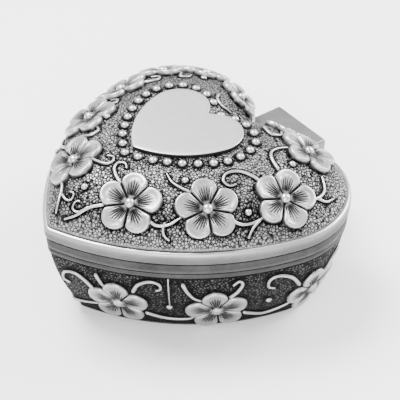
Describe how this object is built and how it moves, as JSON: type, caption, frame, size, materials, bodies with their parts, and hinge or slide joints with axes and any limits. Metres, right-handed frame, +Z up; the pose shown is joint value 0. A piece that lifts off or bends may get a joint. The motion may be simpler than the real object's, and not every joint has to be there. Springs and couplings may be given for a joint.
{
  "type": "wind-up music box",
  "caption": "Heart-shaped cast metal trinket music box with a hinged lid, a velvet insert with jewel wells, and a pinned-cylinder movement wound from below.",
  "frame": {"origin": "on the table, at the middle of the box's length and width", "axes": "+Z up, +Y from the heart's tip to its hinge, +X to the right"},
  "size_m": [0.092, 0.0918, 0.0504],
  "materials": {
    "pewter": "antiqued silver-grey, dark in the recesses, rubbed bright on the high points",
    "plaque_metal": "fine diagonal brushing, satin",
    "pin_steel": "satin",
    "velvet": "short black velvet pile",
    "clear_cover": "clear, glossy",
    "plate_zinc": "cast, satin",
    "housing_nickel": "nickel plated",
    "spring_steel": "blued",
    "screw_steel": "plated",
    "arbor_steel": "ground",
    "key_nickel": "nickel plated",
    "gear_brass": "polished",
    "comb_steel": "ground and tuned",
    "worm_plastic": "moulded",
    "frame_brass": "stamped"
  },
  "bodies": {
    "case": {"case_body": "pewter", "hinge_pin": "pin_steel", "insert_tray": "velvet", "movement_cover": "clear_cover", "movement_bedplate": "plate_zinc", "spring_housing": "housing_nickel", "mainspring": "spring_steel", "housing_screws": "screw_steel", "comb_screws": "screw_steel", "movement_screws": "screw_steel", "cylinder_bracket_left": "plate_zinc", "cylinder_bracket_right": "plate_zinc", "comb": "comb_steel", "governor_frame": "frame_brass", "stop_guide": "gear_brass"},
    "lid": {"lid_shell": "pewter", "heart_plaque": "plaque_metal", "lid_lining": "velvet"},
    "key": {"winding_arbor": "arbor_steel", "winding_key": "key_nickel"},
    "wheel": {"main_wheel": "gear_brass"},
    "cylinder": {"pinned_cylinder": "gear_brass", "cylinder_shaft": "arbor_steel", "cylinder_pinion": "gear_brass", "cylinder_gear": "gear_brass"},
    "governor": {"governor_pinion": "gear_brass", "worm_wheel": "gear_brass", "governor_shaft": "arbor_steel"},
    "fan": {"worm": "worm_plastic", "fan": "worm_plastic"},
    "stop": {"stop_rod": "screw_steel"}
  },
  "joints": [
    {"name": "lid_hinge", "type": "hinge", "parent": "case", "child": "lid", "pos_m": [0, 0.0432, 0.028], "axis": [-1, 0, 0], "range_deg": [0, 95]},
    {"name": "key_winding", "type": "hinge", "parent": "case", "child": "key", "pos_m": [-0.011, 0.0045, 0.006], "axis": [0, 0, 1], "continuous": true},
    {"name": "cylinder_spin", "type": "hinge", "parent": "case", "child": "cylinder", "pos_m": [0.0106, 0.0045, 0.02], "axis": [1, 0, 0], "continuous": true},
    {"name": "wheel_spin", "type": "hinge", "parent": "case", "child": "wheel", "pos_m": [-0.011, 0.0045, 0.0142], "axis": [0, 0, 1], "continuous": true},
    {"name": "governor_spin", "type": "hinge", "parent": "case", "child": "governor", "pos_m": [0.0203, 0.0129, 0.02], "axis": [1, 0, 0], "continuous": true},
    {"name": "fan_spin", "type": "hinge", "parent": "case", "child": "fan", "pos_m": [0.0203, 0.0178, 0.02], "axis": [0, 0, 1], "continuous": true},
    {"name": "stop_slide", "type": "slide", "parent": "case", "child": "stop", "axis": [0, 0, 1], "range_m": [0, 0.0012]}
  ],
  "couplings": [
    {"joint": "wheel_spin", "follows": "cylinder_spin", "ratio": 0.375},
    {"joint": "governor_spin", "follows": "cylinder_spin", "ratio": -6},
    {"joint": "fan_spin", "follows": "cylinder_spin", "ratio": 156},
    {"joint": "stop_slide", "follows": "lid_hinge", "m_per_rad": 0.0007}
  ]
}
